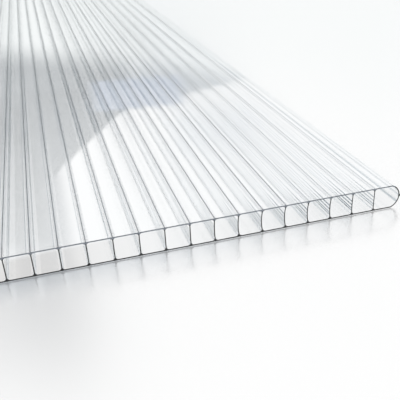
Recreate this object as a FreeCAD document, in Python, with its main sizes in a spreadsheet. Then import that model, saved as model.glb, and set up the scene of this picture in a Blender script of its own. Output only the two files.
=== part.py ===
"""Twin-wall polycarbonate sheet: one extruded piece of clear glazing stock.

Two thin skins are joined by upright ribs, which leaves a row of open flutes that run the whole length.
Both long edges are closed by a bulged wall, as they leave the die, with a small bead at mid height.
Both ends are sawn square, so that every flute shows as an open cell with rounded corners.

Frame: millimetres, X across the sheet, Y along the flutes, Z up.
The origin is the middle of the lower skin's outer face, on which the sheet lies.
"""

import FreeCAD, Part

import math
import os

import Sketcher

# Every size that can be set by itself, in millimetres.
SIZES = [
    ("sheet_width", 1050.0, "over the two bulged edges, without their beads"),
    ("sheet_length", 2000.0, "along the flutes, from sawn end to sawn end"),
    ("sheet_thickness", 10.0, "over the two skins"),
    ("skin_thickness", 0.5, "upper and lower skin"),
    ("rib_thickness", 0.4, "each upright rib"),
    ("rib_spacing", 9.5, "aimed at from rib to rib; a whole number of flutes is fitted"),
    ("flute_corner_radius", 1.0, "where a rib meets a skin"),
    ("edge_flute_width", 11.5, "from the last rib's middle to the outside of the edge"),
    ("edge_bulge", 3.55, "how far the edge stands out from the ends of the skins"),
    ("edge_wall", 0.5, "wall of the bulged edge"),
    ("bead_width", 0.8, "height of the edge's bead, measured up the edge"),
    ("bead_reach", 0.6, "how far the bead stands out from the edge"),
]

# Formulas on the sizes above, each used by more than one feature.
RIBBED_WIDTH = "(Sizes.sheet_width - 2 * Sizes.edge_flute_width)"
FLUTE_COUNT = f"round({RIBBED_WIDTH} / Sizes.rib_spacing)"
FITTED_SPACING = f"({RIBBED_WIDTH} / {FLUTE_COUNT})"
EDGE_RADIUS = "((Sizes.sheet_thickness ^ 2 / 4 + Sizes.edge_bulge ^ 2) / (2 * Sizes.edge_bulge))"
EDGE_CENTRE = f"(Sizes.sheet_width / 2 - {EDGE_RADIUS})"
LAST_RIB = "(Sizes.sheet_width / 2 - Sizes.edge_flute_width)"

NODE = "twin_wall_sheet"

START, END, CENTRE = 1, 2, 3  # the points of a sketched line or arc
ORIGIN_POINT = (-1, 1)
ACROSS_AXIS, UPRIGHT_AXIS = -1, -2


def make_sizes(doc):
    """The spreadsheet of driving dimensions: a name, a number and a note in each row."""
    sheet = doc.addObject("Spreadsheet::Sheet", "Sizes")
    for row, (name, value, note) in enumerate(SIZES, start=1):
        sheet.set(f"A{row}", name)
        sheet.set(f"B{row}", str(value))
        sheet.set(f"C{row}", note)
        sheet.setAlias(f"B{row}", name)
    return sheet


def end_face_sketch(body, name):
    """A sketch on the plane of the section: its first axis is X and its second is Z."""
    plane = next(f for f in body.Origin.OriginFeatures if f.Role == "XZ_Plane")
    sketch = body.newObject("Sketcher::SketchObject", name)
    sketch.AttachmentSupport = (plane, "")
    sketch.MapMode = "FlatFace"
    return sketch


def drive(sketch, constraint, name, formula):
    """Adds a constraint that has a size, names it and binds the size to its formula."""
    index = sketch.addConstraint(constraint)
    sketch.renameConstraint(index, name)
    sketch.setExpression(f"Constraints.{name}", formula)


def line(sketch, start, end):
    return sketch.addGeometry(Part.LineSegment(FreeCAD.Vector(*start, 0), FreeCAD.Vector(*end, 0)))


def arc(sketch, start, middle, end):
    points = [FreeCAD.Vector(*p, 0) for p in (start, middle, end)]
    return sketch.addGeometry(Part.Arc(*points))


def meet(sketch, first, first_point, second, second_point):
    sketch.addConstraint(Sketcher.Constraint("Coincident", first, first_point, second, second_point))


def arc_ends(sketch, index):
    """The arc's two end points as (lower one, upper one): an arc always runs anticlockwise."""
    ends = {START: sketch.getPoint(index, START).y, END: sketch.getPoint(index, END).y}
    return sorted(ends, key=ends.get)


def draw_outline(body, size):
    """The sheet's outer section: two flat faces and two bulged edges."""
    sketch = end_face_sketch(body, "OutlineSketch")
    edge, top = size.sheet_width / 2, size.sheet_thickness
    flat = edge - size.edge_bulge
    lower = line(sketch, (-flat, 0), (flat, 0))
    upper = line(sketch, (-flat, top), (flat, top))
    right = arc(sketch, (flat, 0), (edge, top / 2), (flat, top))
    left = arc(sketch, (-flat, 0), (-edge, top / 2), (-flat, top))
    for side, point in ((right, END), (left, START)):
        low, high = arc_ends(sketch, side)
        meet(sketch, side, low, lower, point)
        meet(sketch, side, high, upper, point)
    sketch.addConstraint(Sketcher.Constraint("PointOnObject", lower, START, ACROSS_AXIS))
    sketch.addConstraint(Sketcher.Constraint("Symmetric", lower, START, lower, END, UPRIGHT_AXIS))
    sketch.addConstraint(Sketcher.Constraint("Symmetric", upper, START, upper, END, UPRIGHT_AXIS))
    sketch.addConstraint(Sketcher.Constraint("Equal", lower, upper))
    sketch.addConstraint(Sketcher.Constraint("Equal", right, left))
    drive(sketch, Sketcher.Constraint("DistanceX", lower, START, lower, END, 2 * flat),
          "flat_width", "Sizes.sheet_width - 2 * Sizes.edge_bulge")
    drive(sketch, Sketcher.Constraint("DistanceY", lower, START, upper, START, top),
          "thickness", "Sizes.sheet_thickness")
    radius = (top**2 / 4 + size.edge_bulge**2) / (2 * size.edge_bulge)
    drive(sketch, Sketcher.Constraint("Radius", right, radius), "edge_radius", EDGE_RADIUS)
    return sketch


def draw_corner(sketch, rib_line, rib_point, skin_line, skin_point, centre, radius, first, last):
    """A rounded corner between a rib's face and a skin's face, tangent to both."""
    circle = Part.Circle(FreeCAD.Vector(*centre, 0), FreeCAD.Vector(0, 0, 1), radius)
    corner = sketch.addGeometry(Part.ArcOfCircle(circle, math.radians(first), math.radians(last)))
    ends = {p: sketch.getPoint(corner, p) for p in (START, END)}
    rib_at = sketch.getPoint(rib_line, rib_point)
    near_rib = min(ends, key=lambda p: (ends[p] - rib_at).Length)
    near_skin = END if near_rib == START else START
    sketch.addConstraint(Sketcher.Constraint("Tangent", corner, near_rib, rib_line, rib_point))
    sketch.addConstraint(Sketcher.Constraint("Tangent", corner, near_skin, skin_line, skin_point))
    return corner


def draw_flute(body, size, spacing):
    """One ordinary flute, the one beside the edge flute: a rectangle with four rounded corners."""
    sketch = end_face_sketch(body, "FluteSketch")
    radius = size.flute_corner_radius
    right = size.sheet_width / 2 - size.edge_flute_width - size.rib_thickness / 2
    left = right - (spacing - size.rib_thickness)
    low, high = size.skin_thickness, size.sheet_thickness - size.skin_thickness
    lower = line(sketch, (left + radius, low), (right - radius, low))
    upper = line(sketch, (left + radius, high), (right - radius, high))
    left_rib = line(sketch, (left, low + radius), (left, high - radius))
    right_rib = line(sketch, (right, low + radius), (right, high - radius))
    corners = [
        draw_corner(sketch, left_rib, START, lower, START, (left + radius, low + radius), radius, 180, 270),
        draw_corner(sketch, right_rib, START, lower, END, (right - radius, low + radius), radius, 270, 360),
        draw_corner(sketch, right_rib, END, upper, END, (right - radius, high - radius), radius, 0, 90),
        draw_corner(sketch, left_rib, END, upper, START, (left + radius, high - radius), radius, 90, 180),
    ]
    for corner in corners[1:]:
        sketch.addConstraint(Sketcher.Constraint("Equal", corners[0], corner))
    for skin in (lower, upper):
        sketch.addConstraint(Sketcher.Constraint("Horizontal", skin))
    for rib in (left_rib, right_rib):
        sketch.addConstraint(Sketcher.Constraint("Vertical", rib))
    drive(sketch, Sketcher.Constraint("Radius", corners[0], radius), "corner_radius", "Sizes.flute_corner_radius")
    drive(sketch, Sketcher.Constraint("DistanceX", left_rib, START, right_rib, START, right - left),
          "flute_width", f"{FITTED_SPACING} - Sizes.rib_thickness")
    drive(sketch, Sketcher.Constraint("DistanceY", lower, START, upper, START, high - low),
          "flute_height", "Sizes.sheet_thickness - 2 * Sizes.skin_thickness")
    drive(sketch, Sketcher.Constraint("DistanceX", *ORIGIN_POINT, right_rib, START, right),
          "right_rib_face", f"{LAST_RIB} - Sizes.rib_thickness / 2")
    drive(sketch, Sketcher.Constraint("DistanceY", *ORIGIN_POINT, lower, START, low),
          "lower_skin_face", "Sizes.skin_thickness")
    return sketch


def draw_edge_flute(body, size):
    """The flute inside the bulged edge: square to its rib, and curved like the edge outside it."""
    sketch = end_face_sketch(body, "EdgeFluteSketch")
    radius = size.flute_corner_radius
    bulge, thickness = size.edge_bulge, size.sheet_thickness
    edge_radius = (thickness**2 / 4 + bulge**2) / (2 * bulge)
    centre_x = size.sheet_width / 2 - edge_radius
    inner_radius = edge_radius - size.edge_wall
    left = size.sheet_width / 2 - size.edge_flute_width + size.rib_thickness / 2
    low, high = size.skin_thickness, thickness - size.skin_thickness
    flat = centre_x + (inner_radius**2 - (thickness / 2 - low) ** 2) ** 0.5
    lower = line(sketch, (left + radius, low), (flat, low))
    upper = line(sketch, (left + radius, high), (flat, high))
    rib = line(sketch, (left, low + radius), (left, high - radius))
    outer = arc(sketch, (flat, low), (centre_x + inner_radius, thickness / 2), (flat, high))
    corners = [
        draw_corner(sketch, rib, START, lower, START, (left + radius, low + radius), radius, 180, 270),
        draw_corner(sketch, rib, END, upper, START, (left + radius, high - radius), radius, 90, 180),
    ]
    sketch.addConstraint(Sketcher.Constraint("Equal", *corners))
    low_end, high_end = arc_ends(sketch, outer)
    meet(sketch, outer, low_end, lower, END)
    meet(sketch, outer, high_end, upper, END)
    sketch.addConstraint(Sketcher.Constraint("Vertical", rib))
    for skin in (lower, upper):
        sketch.addConstraint(Sketcher.Constraint("Horizontal", skin))
    drive(sketch, Sketcher.Constraint("Radius", corners[0], radius), "corner_radius", "Sizes.flute_corner_radius")
    drive(sketch, Sketcher.Constraint("Radius", outer, inner_radius), "inner_radius",
          f"{EDGE_RADIUS} - Sizes.edge_wall")
    drive(sketch, Sketcher.Constraint("DistanceX", *ORIGIN_POINT, outer, CENTRE, centre_x),
          "edge_centre", EDGE_CENTRE)
    drive(sketch, Sketcher.Constraint("DistanceY", *ORIGIN_POINT, outer, CENTRE, thickness / 2),
          "mid_height", "Sizes.sheet_thickness / 2")
    drive(sketch, Sketcher.Constraint("DistanceY", lower, START, upper, START, high - low),
          "flute_height", "Sizes.sheet_thickness - 2 * Sizes.skin_thickness")
    drive(sketch, Sketcher.Constraint("DistanceX", *ORIGIN_POINT, rib, START, left),
          "rib_face", f"{LAST_RIB} + Sizes.rib_thickness / 2")
    drive(sketch, Sketcher.Constraint("DistanceY", *ORIGIN_POINT, lower, START, low),
          "lower_skin_face", "Sizes.skin_thickness")
    return sketch


def draw_bead(body, size):
    """The bead at the middle of the edge: parallel sides with a round nose, rooted in the edge's wall."""
    sketch = end_face_sketch(body, "BeadSketch")
    half, middle = size.bead_width / 2, size.sheet_thickness / 2
    root = size.sheet_width / 2 - size.edge_wall / 2
    nose = size.sheet_width / 2 + size.bead_reach - half
    lower = line(sketch, (root, middle - half), (nose, middle - half))
    upper = line(sketch, (root, middle + half), (nose, middle + half))
    back = line(sketch, (root, middle - half), (root, middle + half))
    tip = arc(sketch, (nose, middle - half), (nose + half, middle), (nose, middle + half))
    low_end, high_end = arc_ends(sketch, tip)
    sketch.addConstraint(Sketcher.Constraint("Tangent", tip, low_end, lower, END))
    sketch.addConstraint(Sketcher.Constraint("Tangent", tip, high_end, upper, END))
    meet(sketch, back, START, lower, START)
    meet(sketch, back, END, upper, START)
    sketch.addConstraint(Sketcher.Constraint("Vertical", back))
    for side in (lower, upper):
        sketch.addConstraint(Sketcher.Constraint("Horizontal", side))
    drive(sketch, Sketcher.Constraint("DistanceY", lower, START, upper, START, 2 * half),
          "bead_width", "Sizes.bead_width")
    drive(sketch, Sketcher.Constraint("DistanceX", *ORIGIN_POINT, back, START, root),
          "root", "Sizes.sheet_width / 2 - Sizes.edge_wall / 2")
    drive(sketch, Sketcher.Constraint("DistanceX", *ORIGIN_POINT, tip, CENTRE, nose),
          "nose_centre", "Sizes.sheet_width / 2 + Sizes.bead_reach - Sizes.bead_width / 2")
    drive(sketch, Sketcher.Constraint("DistanceY", *ORIGIN_POINT, tip, CENTRE, middle),
          "mid_height", "Sizes.sheet_thickness / 2")
    return sketch


def extrude(body, kind, name, sketch):
    """Pads or pockets a section over the whole length, the same distance to each side of the middle."""
    feature = body.newObject(kind, name)
    feature.Profile = sketch
    feature.SideType = "Symmetric"
    feature.setExpression("Length", "Sizes.sheet_length")
    sketch.Visibility = False
    return feature


def mirror(body, name, originals):
    """Copies features to the other long edge."""
    feature = body.newObject("PartDesign::Mirrored", name)
    feature.Originals = originals
    feature.MirrorPlane = (next(f for f in body.Origin.OriginFeatures if f.Role == "YZ_Plane"), [""])
    body.Tip = feature
    return feature


def make_sheet(doc, size):
    """The whole sheet as one body: slab, beads, edge flutes and the row of ordinary flutes."""
    body = doc.addObject("PartDesign::Body", NODE)
    body.Label = NODE
    ribbed = size.sheet_width - 2 * size.edge_flute_width
    spacing = ribbed / round(ribbed / size.rib_spacing)

    extrude(body, "PartDesign::Pad", "Slab", draw_outline(body, size))
    bead = extrude(body, "PartDesign::Pad", "Bead", draw_bead(body, size))
    edge_flute = extrude(body, "PartDesign::Pocket", "EdgeFlute", draw_edge_flute(body, size))
    doc.recompute()
    mirror(body, "OtherEdge", [bead, edge_flute])
    flute = extrude(body, "PartDesign::Pocket", "Flute", draw_flute(body, size, spacing))
    doc.recompute()

    flutes = body.newObject("PartDesign::LinearPattern", "Flutes")
    flutes.Originals = [flute]
    flutes.Direction = (next(f for f in body.Origin.OriginFeatures if f.Role == "X_Axis"), [""])
    flutes.Reversed = True
    flutes.Mode = "Extent"
    flutes.setExpression("Length", f"{RIBBED_WIDTH} - {FITTED_SPACING}")
    flutes.setExpression("Occurrences", FLUTE_COUNT)
    body.Tip = flutes
    return body


def check(doc, bodies):
    """Stops with a plain message if a feature failed or a sub-part isn't one sound solid."""
    for thing in doc.Objects:
        if "Invalid" in thing.State or "Error" in thing.State:
            raise RuntimeError(f"{thing.Label} failed to build: {thing.State}")
    for body in bodies:
        if body.Shape.isNull() or not body.Shape.isValid() or len(body.Shape.Solids) != 1:
            raise RuntimeError(f"{body.Label} is not one valid solid")


def main():
    doc = FreeCAD.newDocument("TwinWallSheet")
    size = make_sizes(doc)
    doc.recompute()
    bodies = [make_sheet(doc, size)]
    doc.recompute()
    check(doc, bodies)
    os.makedirs("parts", exist_ok=True)
    for body in bodies:
        body.Shape.exportStep(f"parts/{body.Label}.step")
        box = body.Shape.BoundBox
        print(f"{body.Label}: {box.XLength:.2f} x {box.YLength:.2f} x {box.ZLength:.2f} mm, "
              f"{body.Shape.Volume / 1000:.1f} cm3, {len(body.Shape.Faces)} faces")


main()
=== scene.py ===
"""Twin-wall polycarbonate sheet lying on a white gloss table, seen from just in front of its sawn end.

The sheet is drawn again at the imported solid's sizes and in its place, with rounder corners and with the fine
relief that the solid leaves out.
"""

import math

import bmesh
import bpy
from mathutils import Matrix, Vector


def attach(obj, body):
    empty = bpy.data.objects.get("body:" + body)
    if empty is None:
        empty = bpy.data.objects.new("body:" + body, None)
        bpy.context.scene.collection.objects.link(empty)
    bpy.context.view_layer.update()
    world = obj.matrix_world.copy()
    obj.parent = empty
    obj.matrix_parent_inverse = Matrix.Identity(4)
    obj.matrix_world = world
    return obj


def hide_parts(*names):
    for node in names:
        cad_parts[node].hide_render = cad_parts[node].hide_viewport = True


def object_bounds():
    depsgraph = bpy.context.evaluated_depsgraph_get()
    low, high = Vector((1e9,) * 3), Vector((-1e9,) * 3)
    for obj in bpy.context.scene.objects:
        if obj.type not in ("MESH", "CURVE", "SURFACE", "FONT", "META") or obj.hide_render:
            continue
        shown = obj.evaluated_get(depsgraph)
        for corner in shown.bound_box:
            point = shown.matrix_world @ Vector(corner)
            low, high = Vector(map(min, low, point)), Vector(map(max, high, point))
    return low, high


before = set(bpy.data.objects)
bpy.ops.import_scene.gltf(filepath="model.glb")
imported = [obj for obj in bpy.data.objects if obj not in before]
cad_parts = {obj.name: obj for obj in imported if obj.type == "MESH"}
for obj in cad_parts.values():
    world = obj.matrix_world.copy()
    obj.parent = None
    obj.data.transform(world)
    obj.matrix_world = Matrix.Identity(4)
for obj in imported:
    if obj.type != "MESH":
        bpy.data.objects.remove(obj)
cad_low, cad_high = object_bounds()

MM = 0.001
SHEET = "twin_wall_sheet"

# The sheet's section as it is extruded, in millimetres.
SKIN = 0.5
RIB = 0.4
RIB_SPACING = 9.5
CORNER_RADIUS = 1.0
EDGE_FLUTE = 11.5
EDGE_BULGE = 3.55
EDGE_WALL = 0.5
BEAD_WIDTH = 0.8
BEAD_REACH = 0.6

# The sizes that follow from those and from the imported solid's box.
LENGTH = (cad_high.y - cad_low.y) / MM
THICKNESS = (cad_high.z - cad_low.z) / MM
WIDTH = (cad_high.x - cad_low.x) / MM - 2 * BEAD_REACH
RIBBED = WIDTH - 2 * EDGE_FLUTE
FLUTES = round(RIBBED / RIB_SPACING)
SPACING = RIBBED / FLUTES
LAST_RIB = RIBBED / 2
EDGE_RADIUS = (THICKNESS**2 / 4 + EDGE_BULGE**2) / (2 * EDGE_BULGE)
EDGE_CENTRE = WIDTH / 2 - EDGE_RADIUS
MIDDLE = THICKNESS / 2

# The steps that each curve is drawn in, and how its points are joined and its edges kept crisp.
CORNER_STEPS = 8
EDGE_STEPS = 14
NOSE_STEPS = 8
MERGE_WITHIN = 0.001  # mm between points that are made one
SHARP_OVER = 15.0  # degrees between two faces, past which the edge between them stays crisp

# Each rib has drawn the skin over it down as it cooled, some more than others. Along the skin beside the
# rib, on the side towards the sheet's middle, near where the flute's corner starts, runs a thin painted shade
# line.
SINK_DEPTH = 0.02  # mm at the most
SINK_TURN = 2.4  # radians from one rib's share of the sinking to the next one's
SHADE_LINE_IN = 1.4  # mm from the rib's middle
SHADE_LINE_WIDTH = 0.2  # mm

# The ribs next to the last one on the right are bowed to the left, the fourth of them the most.
BOW_MOST = 0.5  # mm
BOW_ENDS = 8  # ribs in from the last one

# Long streaks of painted shade run along the ribs' walls, for the light that the die's faint ripples bend,
# and are drawn darker near the sawn ends.
STREAK_WIDTH = 0.5  # mm
STREAK_HEIGHTS = (2.25, 3.25, 4.75, 6.25)  # mm above the sheet's foot
END_DARK_FULL = 8.0  # mm in from the end
END_DARK_GONE = 22.0  # mm in from the end
WALL_STEPS = round((THICKNESS - 2 * SKIN - 2 * CORNER_RADIUS) / STREAK_WIDTH)

# A face counts as facing along an axis when its normal points this far along it. The narrow faces that are
# painted with thin shade lines are told by how far their normals lean: across in the flutes' lower corners,
# and up on the edge's bulge.
FACING = 0.9
CORNER_LEAN = (0.7, 0.85)
EDGE_LEAN = (0.4, 0.55)
# Near each long edge, the painted shade line over a rib is drawn as faint as the lines beside it.
PALE_RIBS = 4  # at each long edge, where the line over a rib is as faint as the ones beside it

# The cut ends of the two skins, with the flutes' corners, as they show in the sawn end. The sawn end is
# painted with a darker shade along the lower one and a paler one along the upper one.
LOWER_CUT = 1.2  # mm up from the foot
UPPER_CUT = 0.9  # mm down from the top

# The sheet's finishes, by their numbers on the mesh. Each row is the name, the shade that light takes in
# passing a face, the roughness, the share of light that passes unscattered, and the darker shade painted
# near the ends.
SKINS, SAWN, SAWN_PAINTED_DARK, SAWN_PAINTED_PALE, RIB_SHADE_LINE, FAINT_SHADE_LINE, STREAK_SHADE = range(7)
FINISHES = (
    # As it leaves the die: colourless, clear and mirror smooth.
    ("clear polycarbonate, extruded", "FFFFFF", 0.0, 1.0, None),
    # A fine-toothed saw leaves a satin cut that scatters light; the thin grey lines of the ribs' ends are
    # painted shade.
    ("clear polycarbonate, sawn, painted shade", "80868C", 0.25, 1.0, None),
    # The same cut close to the table, painted with the darkest shade, as little light comes through it there.
    ("clear polycarbonate, sawn, painted shade, lower skin", "1C2126", 0.25, 1.0, None),
    # The same cut at the top, painted a paler, bluish shade, as it is lit through the clear skin behind it.
    ("clear polycarbonate, sawn, painted shade, upper skin", "C4CEDC", 0.25, 0.7, None),
    # Painted shade: one crisp dark line over each rib, where light is led down into it and doesn't come back.
    ("clear polycarbonate, painted shade over a rib", "4A5056", 0.0, 1.0, None),
    # Painted shade: faint grey lines beside the ribs, in the flutes' corners and on the edge's turn and bead,
    # where light is bent aside, drawn coarse enough to show.
    ("clear polycarbonate, faint painted shade lines", "A8B2B8", 0.0, 1.0, None),
    # Painted shade: faint bluish streaks on the ribs' walls, darker near the sawn ends, drawn coarse enough to
    # show too.
    ("clear polycarbonate, painted streak shade", "D0D7DC", 0.0, 1.0, "76848C"),
)
POLYCARBONATE_IOR = 1.585

# The table is polished white acrylic: half of what the eye sees in it is its own white, and half is a soft
# mirror image.
TABLE_SIZE = 60.0  # m
TABLE_DROP = 0.15  # mm, which keeps it clear of the sheet's foot
TABLE_ROUGHNESS = 0.24
TABLE_MIRROR = 0.5
ACRYLIC_IOR = 1.49

# A shade is painted on the table along the sheet's two ends, for the sheet's shadow and mirror image there,
# up to this far from them, and less towards its long edges.
SHADE_BESIDE = 15.0  # mm
# Through the sheet, the table shows a painted shade near the front end: how far in it reaches, the share of
# that depth over which it doesn't fade, the places right of the middle between which it clears, and how clear
# it is at each of the two.
SHADE_DEPTH = 17.0  # mm
SHADE_SOLID = 0.7
SHADE_FROM = 375.0  # mm
SHADE_TO = 425.0  # mm
SHADE_CLEARS = (0.1, 0.7)

# The camera stands about 180 mm in front of the sawn end and 116 mm above the table.
CAMERA_AT = (394.96, -1179.8, 116.3)  # mm
CAMERA_AZIMUTH = 14.598  # degrees to the right of +Y
CAMERA_ELEVATION = 27.72  # degrees down
CAMERA_ROLL = -3.082  # degrees
CAMERA_LENS = 52.316  # mm
CAMERA_SENSOR = 36.0  # mm

# The room as the sheet mirrors it, white but for these panels. Each has its left and right edges as azimuths
# to the right of +Y, its bottom and top edges as heights, how far the top falls for each degree to the right,
# the blur of its left and right edges and of the other two, and its colour. Angles are in degrees. A later
# panel covers an earlier one.
ROOM_PANELS = (
    (-6.5, 0.0, 14.0, 42.0, 0.0, 3.0, 6.0, "8C9094"),
    (-7.5, 8.5, 8.0, 23.4, 0.68, 1.5, 0.5, "7C8286"),
    (-7.5, -2.2, 17.2, 30.0, 0.0, 2.5, 2.5, "60666A"),
    (-9.0, 5.5, 8.0, 15.9, 0.0, 4.0, 1.6, "8E9498"),
    (7.8, 21.0, 12.0, 20.1, 0.2, 6.0, 0.5, "A4ACB2"),
    (4.5, 13.4, 15.5, 18.3, 0.0, 2.0, 0.5, "A4B2C8"),
    (12.0, 21.0, 19.0, 23.0, 0.0, 4.0, 3.0, "F0F3F6"),
    (-80.0, 80.0, -10.0, 12.6, -0.18, 8.0, 3.0, "F4F8F8"),
    (-16.0, 0.0, 33.0, 38.5, 0.0, 6.0, 3.0, "84898D"),
)

BOUNCES = 64


def linear(code, alpha=1.0):
    """An sRGB hex colour as the linear values that a socket takes."""
    out = []
    for start in (0, 2, 4):
        value = int(code[start:start + 2], 16) / 255
        out.append(value / 12.92 if value <= 0.04045 else ((value + 0.055) / 1.055) ** 2.4)
    return (*out, alpha)


def add_node(tree, kind, settings=None, inputs=None):
    """A node with its settings; an input given as a socket is linked, and any other value is set."""
    node = tree.nodes.new(kind)
    for name, value in (settings or {}).items():
        setattr(node, name, value)
    for name, value in (inputs or {}).items():
        if isinstance(value, bpy.types.NodeSocket):
            tree.links.new(value, node.inputs[name])
        else:
            node.inputs[name].default_value = value
    return node


def new_material(name):
    """A material with an empty tree."""
    material = bpy.data.materials.new(name)
    material.use_nodes = True
    material.node_tree.nodes.clear()
    return material


def points_of(geometry):
    """The points among some geometry."""
    return [part for part in geometry if isinstance(part, bmesh.types.BMVert)]


def sweep(section, vert, centre, degrees, steps):
    """Draws an arc from a point of the section about a centre (x, z), and returns the arc's last point."""
    made = bmesh.ops.spin(section, geom=[vert], cent=(centre[0], 0, centre[1]), axis=(0, -1, 0),
                          angle=math.radians(degrees), steps=steps)
    return made["geom_last"][0]


def run_to(section, vert, x, z):
    """Draws a straight line from a point of the section, and returns its end."""
    end = bmesh.ops.extrude_vert_indiv(section, verts=[vert])["verts"][0]
    end.co = (x, 0, z)
    return end


def mirror_across(section, geometry):
    """Adds the geometry's mirror image at the sheet's other long edge, joined where the two meet."""
    copy = bmesh.ops.duplicate(section, geom=geometry)["geom"]
    bmesh.ops.scale(section, vec=(-1, 1, 1), verts=points_of(copy))
    bmesh.ops.remove_doubles(section, verts=section.verts[:], dist=MERGE_WITHIN)


def rib_number(x):
    """The number of the rib nearest to a place across the sheet, counted to the right from the middle one."""
    return round(x / SPACING)


def sink(number):
    """How far a rib has drawn the skin over it down from flat."""
    return SINK_DEPTH * (0.5 + 0.5 * math.sin(SINK_TURN * number))


def bow(number):
    """How far a rib's middle stands to the left of its foot and its top."""
    from_last = FLUTES // 2 - number
    if 0 < from_last < BOW_ENDS:
        return BOW_MOST * math.sin(math.pi * from_last / BOW_ENDS)
    return 0.0


def draw_outline(section):
    """The outer section: its right half, from the lower face round the edge and its bead, then mirrored."""
    flat = WIDTH / 2 - EDGE_BULGE
    half_bead = BEAD_WIDTH / 2
    bead_root = EDGE_CENTRE + math.sqrt(EDGE_RADIUS**2 - half_bead**2)
    nose = WIDTH / 2 + BEAD_REACH - half_bead
    corner_angle = math.degrees(math.asin(MIDDLE / EDGE_RADIUS))
    bead_angle = math.degrees(math.asin(half_bead / EDGE_RADIUS))
    start = section.verts.new((0, 0, 0))
    point = run_to(section, start, flat, 0)
    point = sweep(section, point, (EDGE_CENTRE, MIDDLE), corner_angle - bead_angle, EDGE_STEPS)
    point.co = (bead_root, 0, MIDDLE - half_bead)
    point = run_to(section, point, nose, MIDDLE - half_bead)
    point = sweep(section, point, (nose, MIDDLE), 180, NOSE_STEPS)
    point = run_to(section, point, bead_root, MIDDLE + half_bead)
    point = sweep(section, point, (EDGE_CENTRE, MIDDLE), corner_angle - bead_angle, EDGE_STEPS)
    point.co = (flat, 0, THICKNESS)
    for number in range(FLUTES // 2, 0, -1):
        centre = number * SPACING
        for offset in (RIB / 2, -RIB / 2):
            point = run_to(section, point, centre + offset, THICKNESS - sink(number))
        for offset in (SHADE_LINE_WIDTH / 2, -SHADE_LINE_WIDTH / 2):
            point = run_to(section, point, centre - SHADE_LINE_IN + offset, THICKNESS)
    point = run_to(section, point, RIB / 2, THICKNESS)
    run_to(section, point, 0, THICKNESS)
    mirror_across(section, section.verts[:] + section.edges[:])


def draw_edge_flute(section):
    """The flute inside the right bulged edge, square to its rib and curved along the edge's wall."""
    radius = EDGE_RADIUS - EDGE_WALL
    left = LAST_RIB + RIB / 2
    angle = math.degrees(math.asin((MIDDLE - SKIN) / radius))
    flat = EDGE_CENTRE + radius * math.cos(math.radians(angle))
    start = section.verts.new((left + CORNER_RADIUS, 0, SKIN))
    point = run_to(section, start, flat, SKIN)
    point = sweep(section, point, (EDGE_CENTRE, MIDDLE), 2 * angle, 2 * EDGE_STEPS)
    point = run_to(section, point, left + CORNER_RADIUS, THICKNESS - SKIN)
    point = sweep(section, point, (left + CORNER_RADIUS, THICKNESS - SKIN - CORNER_RADIUS), 90, CORNER_STEPS)
    point = run_to(section, point, left, SKIN + CORNER_RADIUS)
    point = sweep(section, point, (left + CORNER_RADIUS, SKIN + CORNER_RADIUS), 90, CORNER_STEPS)
    bmesh.ops.remove_doubles(section, verts=[point, start], dist=MERGE_WITHIN)


def draw_flute(section, left, right):
    """One ordinary flute, with rounded corners and its walls in steps. Returns its edges and points."""
    corners = [(left, SKIN), (right, SKIN), (right, THICKNESS - SKIN), (left, THICKNESS - SKIN)]
    before = set(section.edges)
    verts = [section.verts.new((x, 0, z)) for x, z in corners]
    section.faces.new(verts)
    bmesh.ops.bevel(section, geom=verts, offset=CORNER_RADIUS, offset_type="OFFSET", affect="VERTICES",
                    segments=CORNER_STEPS, profile=0.5, material=-1)
    bmesh.ops.delete(section, geom=section.faces[:], context="FACES_ONLY")
    walls = [e for e in section.edges if e not in before and e.calc_length() > MIDDLE
             and abs(e.verts[0].co.x - e.verts[1].co.x) < CORNER_RADIUS]
    bmesh.ops.bisect_edges(section, edges=walls, cuts=WALL_STEPS - 1)
    edges = [e for e in section.edges if e not in before]
    return edges + list({v for e in edges for v in e.verts})


def bow_ribs(section):
    """Moves the flutes' walls to the left with their ribs' bow."""
    high = THICKNESS - 2 * SKIN
    for vert in section.verts:
        if SKIN < vert.co.z < THICKNESS - SKIN and abs(vert.co.x) < LAST_RIB + RIB:
            rise = (vert.co.z - SKIN) / high
            vert.co.x -= bow(rib_number(vert.co.x)) * math.sin(math.pi * rise)


def draw_section(section):
    """The section as it shows in a sawn end: the outline with every flute in it, filled between."""
    draw_outline(section)
    before = set(section.verts) | set(section.edges)
    draw_edge_flute(section)
    mirror_across(section, [g for g in section.verts[:] + section.edges[:] if g not in before])
    right = LAST_RIB - RIB / 2
    flute = draw_flute(section, right - (SPACING - RIB), right)
    for number in range(1, FLUTES):
        copy = bmesh.ops.duplicate(section, geom=flute)["geom"]
        bmesh.ops.translate(section, vec=(-number * SPACING, 0, 0), verts=points_of(copy))
    bow_ribs(section)
    bmesh.ops.triangle_fill(section, use_beauty=True, use_dissolve=False, normal=(0, -1, 0),
                            edges=section.edges[:])


def is_sawn(face):
    """Whether a face is part of a sawn end."""
    return abs(face.normal.y) > FACING


def is_upper_skin(face):
    """Whether a face is part of the upper skin's outer side, sunk over a rib or not."""
    return face.normal.z > FACING and face.calc_center_median().z > THICKNESS - 2 * SINK_DEPTH


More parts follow.
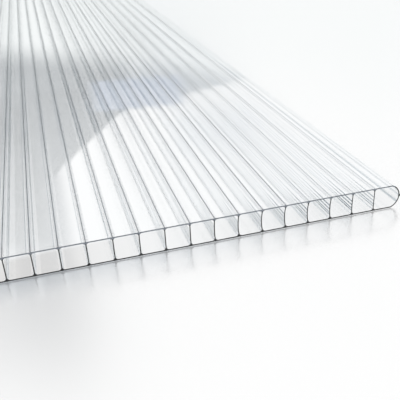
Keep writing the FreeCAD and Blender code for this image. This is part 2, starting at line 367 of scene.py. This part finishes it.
def finish_of(face):
    """The number of the finish that a face has, by its place and the way it faces."""
    middle = face.calc_center_median()
    outward = abs(middle.x)
    number = rib_number(outward)
    off_rib = outward - number * SPACING
    # The sawn end's colour is painted shade: darkest at the foot, palest at the top.
    if is_sawn(face):
        if middle.z < LOWER_CUT:
            return SAWN_PAINTED_DARK
        return SAWN_PAINTED_PALE if middle.z > THICKNESS - UPPER_CUT else SAWN
    # Over a rib, the upper skin gets a line of painted shade, fainter near the long edges.
    if is_upper_skin(face) and abs(off_rib) < RIB / 2:
        return FAINT_SHADE_LINE if number > FLUTES // 2 - PALE_RIBS else RIB_SHADE_LINE
    # Faint painted shade lines: beside each rib, in the flutes' lower corners, on the edge's bulge and bead.
    in_shade_line = is_upper_skin(face) and abs(off_rib + SHADE_LINE_IN) < SHADE_LINE_WIDTH / 2
    leans_across = CORNER_LEAN[0] < abs(face.normal.x) < CORNER_LEAN[1]
    leans_up = EDGE_LEAN[0] < face.normal.z < EDGE_LEAN[1]
    in_corner = leans_across and middle.z < MIDDLE and outward < LAST_RIB + RIB
    on_bulge = leans_up and outward > LAST_RIB + EDGE_FLUTE / 2
    on_bead = outward > WIDTH / 2
    if in_shade_line or in_corner or on_bulge or on_bead:
        return FAINT_SHADE_LINE
    on_wall = abs(face.normal.x) > FACING and outward < LAST_RIB
    # Streaks of painted shade on the ribs' walls.
    if on_wall and any(abs(middle.z - height) < STREAK_WIDTH / 2 for height in STREAK_HEIGHTS):
        return STREAK_SHADE
    return SKINS


def polycarbonate(name, shade, roughness, clear, near_end_shade):
    """One of the sheet's finishes, from its row in FINISHES."""
    material = new_material(name)
    tree = material.node_tree
    colour = linear(shade)
    # The painted streak shade grows darker towards the sawn ends.
    if near_end_shade:
        place = add_node(tree, "ShaderNodeTexCoord").outputs["Object"]
        axes = add_node(tree, "ShaderNodeSeparateXYZ", inputs={0: place}).outputs
        along = add_node(tree, "ShaderNodeMath", {"operation": "ABSOLUTE"}, {0: axes["Y"]}).outputs[0]
        end_darkening = add_node(tree, "ShaderNodeMapRange", inputs={
            "Value": along,
            "From Min": (LENGTH / 2 - END_DARK_GONE) * MM,
            "From Max": (LENGTH / 2 - END_DARK_FULL) * MM}).outputs[0]
        colour = add_node(tree, "ShaderNodeMix", {"data_type": "RGBA"},
                          {"Factor": end_darkening, 6: colour, 7: linear(near_end_shade)}).outputs[2]
    surface = add_node(tree, "ShaderNodeBsdfPrincipled", inputs={
        "Base Color": colour,
        "Roughness": roughness,
        "IOR": POLYCARBONATE_IOR,
        "Transmission Weight": clear})
    add_node(tree, "ShaderNodeOutputMaterial", inputs={"Surface": surface.outputs[0]})
    return material


def build_sheet():
    """The whole sheet: its section drawn out to its length, with each face's finish."""
    section = bmesh.new()
    draw_section(section)
    bmesh.ops.translate(section, vec=(0, -LENGTH / 2, 0), verts=section.verts[:])
    drawn = bmesh.ops.extrude_face_region(section, geom=section.faces[:], use_keep_orig=True)["geom"]
    bmesh.ops.translate(section, vec=(0, LENGTH, 0), verts=points_of(drawn))
    bmesh.ops.recalc_face_normals(section, faces=section.faces[:])
    for face in section.faces:
        face.material_index = finish_of(face)
        face.smooth = not is_sawn(face) and not is_upper_skin(face)
    for edge in section.edges:
        edge.smooth = edge.calc_face_angle(math.pi) < math.radians(SHARP_OVER)
    bmesh.ops.scale(section, vec=(MM, MM, MM), verts=section.verts[:])
    mesh = bpy.data.meshes.new("clear_sheet")
    section.to_mesh(mesh)
    section.free()
    sheet = bpy.data.objects.new("clear_sheet", mesh)
    bpy.context.scene.collection.objects.link(sheet)
    weighted = sheet.modifiers.new("flat skins", "WEIGHTED_NORMAL")
    weighted.keep_sharp = True
    for row in FINISHES:
        sheet.data.materials.append(polycarbonate(*row))
    return sheet


def gloss_table():
    """The table, wide enough to reach past every view."""
    bpy.ops.mesh.primitive_plane_add(size=TABLE_SIZE, location=(0, 0, -TABLE_DROP * MM))
    table = bpy.context.object
    table.name = "table"
    material = new_material("white gloss acrylic, with painted shade")
    tree = material.node_tree
    place = add_node(tree, "ShaderNodeTexCoord").outputs["Object"]
    axes = add_node(tree, "ShaderNodeSeparateXYZ", inputs={0: place}).outputs

    # Seen from outside: white, but for a painted shade along the sheet's two ends, for its shadow and mirror
    # image.
    along = add_node(tree, "ShaderNodeMath", {"operation": "ABSOLUTE"}, {0: axes["Y"]}).outputs[0]
    past = add_node(tree, "ShaderNodeMath", {"operation": "SUBTRACT"},
                    {0: along, 1: LENGTH / 2 * MM}).outputs[0]
    apart = add_node(tree, "ShaderNodeMath", {"operation": "ABSOLUTE"}, {0: past}).outputs[0]
    near_end = add_node(tree, "ShaderNodeMapRange", inputs={
        "Value": apart, "From Max": SHADE_BESIDE * MM, "To Min": 1.0, "To Max": 0.0}).outputs[0]
    sideways = add_node(tree, "ShaderNodeMath", {"operation": "ABSOLUTE"}, {0: axes["X"]}).outputs[0]
    across = add_node(tree, "ShaderNodeMapRange", inputs={
        "Value": sideways,
        "From Min": SHADE_FROM * MM,
        "From Max": WIDTH / 2 * MM,
        "To Min": 1.0,
        "To Max": 0.0}).outputs[0]
    shade = add_node(tree, "ShaderNodeMath", {"operation": "MULTIPLY"}, {0: near_end, 1: across}).outputs[0]
    white = add_node(tree, "ShaderNodeMix", {"data_type": "RGBA"},
                     {"Factor": shade, 6: linear("FFFFFF"), 7: linear("DADEE2")}).outputs[2]
    surface = add_node(tree, "ShaderNodeBsdfPrincipled", inputs={
        "Base Color": white,
        "Roughness": TABLE_ROUGHNESS,
        "IOR": ACRYLIC_IOR,
        "Metallic": TABLE_MIRROR})

    # Seen through the sheet it glows as evenly as it is lit in a white room, but for a painted shade near the
    # front end.
    front = -LENGTH / 2
    inside = add_node(tree, "ShaderNodeMapRange", inputs={
        "Value": axes["Y"],
        "From Min": (front + SHADE_DEPTH * SHADE_SOLID) * MM,
        "From Max": (front + SHADE_DEPTH) * MM}).outputs[0]
    beside = add_node(tree, "ShaderNodeMapRange", inputs={
        "Value": axes["X"],
        "From Min": SHADE_FROM * MM,
        "From Max": SHADE_TO * MM,
        "To Min": SHADE_CLEARS[0],
        "To Max": SHADE_CLEARS[1]}).outputs[0]
    lit = add_node(tree, "ShaderNodeMath", {"operation": "MAXIMUM"}, {0: inside, 1: beside}).outputs[0]
    glow_with_painted_shade = add_node(tree, "ShaderNodeMix", {"data_type": "RGBA"},
                    {"Factor": lit, 6: linear("DAD9D8"), 7: linear("FCFEFF")}).outputs[2]
    through = add_node(tree, "ShaderNodeEmission", inputs={"Color": glow_with_painted_shade, "Strength": 1.0})

    path = add_node(tree, "ShaderNodeLightPath").outputs
    seen = add_node(tree, "ShaderNodeMixShader", inputs={
        0: path["Is Transmission Ray"], 1: surface.outputs[0], 2: through.outputs[0]})
    add_node(tree, "ShaderNodeOutputMaterial", inputs={"Surface": seen.outputs[0]})
    table.data.materials.append(material)


def studio():
    """A white room with soft panels for the sheet and the table to mirror."""
    world = bpy.data.worlds.new("studio")
    bpy.context.scene.world = world
    world.use_nodes = True
    tree = world.node_tree
    tree.nodes.clear()
    direction = add_node(tree, "ShaderNodeTexCoord").outputs["Generated"]
    axes = add_node(tree, "ShaderNodeSeparateXYZ", inputs={0: direction}).outputs
    turn = add_node(tree, "ShaderNodeMath", {"operation": "ARCTAN2"}, {0: axes["X"], 1: axes["Y"]}).outputs[0]
    azimuth = add_node(tree, "ShaderNodeMath", {"operation": "DEGREES"}, {0: turn}).outputs[0]
    rise = add_node(tree, "ShaderNodeMath", {"operation": "ARCSINE"}, {0: axes["Z"]}).outputs[0]
    height = add_node(tree, "ShaderNodeMath", {"operation": "DEGREES"}, {0: rise}).outputs[0]
    colour = linear("FFFFFF")
    for left, right, bottom, top, fall, side_blur, end_blur, shade in ROOM_PANELS:
        level = add_node(tree, "ShaderNodeMath", {"operation": "MULTIPLY_ADD"},
                         {0: azimuth, 1: fall, 2: height}).outputs[0]
        # The panel covers what is inwards of all four edges: 1 is where that is up the scale, and -1 down it.
        edges = ((azimuth, left, 1, side_blur), (azimuth, right, -1, side_blur),
                 (height, bottom, 1, end_blur), (level, top, -1, end_blur))
        cover = 1.0
        for value, edge, inwards, blur in edges:
            past = add_node(tree, "ShaderNodeMapRange", {"interpolation_type": "SMOOTHSTEP"}, {
                "Value": value,
                "From Min": edge - inwards * blur / 2,
                "From Max": edge + inwards * blur / 2}).outputs[0]
            cover = add_node(tree, "ShaderNodeMath", {"operation": "MULTIPLY"},
                             {0: past, 1: cover}).outputs[0]
        colour = add_node(tree, "ShaderNodeMix", {"data_type": "RGBA"},
                          {"Factor": cover, 6: colour, 7: linear(shade)}).outputs[2]

    # The panels are seen in the sheet and the table only: behind them the picture is white.
    seen = add_node(tree, "ShaderNodeLightPath").outputs["Is Camera Ray"]
    shown = add_node(tree, "ShaderNodeMix", {"data_type": "RGBA"},
                     {"Factor": seen, 6: colour, 7: linear("FFFFFF")}).outputs[2]
    light = add_node(tree, "ShaderNodeBackground", inputs={"Color": shown, "Strength": 1.0})
    add_node(tree, "ShaderNodeOutputWorld", inputs={"Surface": light.outputs[0]})


def camera():
    """The camera at the photograph's angle."""
    data = bpy.data.cameras.new("camera")
    data.lens = CAMERA_LENS
    data.sensor_width = CAMERA_SENSOR
    data.clip_start = 0.01
    data.clip_end = 100.0
    azimuth = math.radians(CAMERA_AZIMUTH)
    elevation = math.radians(CAMERA_ELEVATION)
    level = math.cos(elevation)
    look = Vector((math.sin(azimuth) * level, math.cos(azimuth) * level, -math.sin(elevation)))
    turn = look.to_track_quat("-Z", "Y").to_matrix() @ Matrix.Rotation(math.radians(CAMERA_ROLL), 3, "Z")
    eye = bpy.data.objects.new("camera", data)
    eye.matrix_world = Matrix.Translation(Vector(CAMERA_AT) * MM) @ turn.to_4x4()
    bpy.context.scene.collection.objects.link(eye)
    bpy.context.scene.camera = eye


def render_settings():
    """Enough bounces for light to cross a row of clear ribs, and no blurring of it on the way."""
    scene = bpy.context.scene
    scene.view_settings.view_transform = "Standard"
    scene.cycles.max_bounces = BOUNCES
    scene.cycles.transmission_bounces = BOUNCES
    scene.cycles.glossy_bounces = BOUNCES
    scene.cycles.blur_glossy = 0.0
    scene.cycles.use_denoising = True
    scene.cycles.denoising_input_passes = "RGB"


sheet = build_sheet()
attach(sheet, "root")
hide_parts(SHEET)
gloss_table()
studio()
camera()
render_settings()
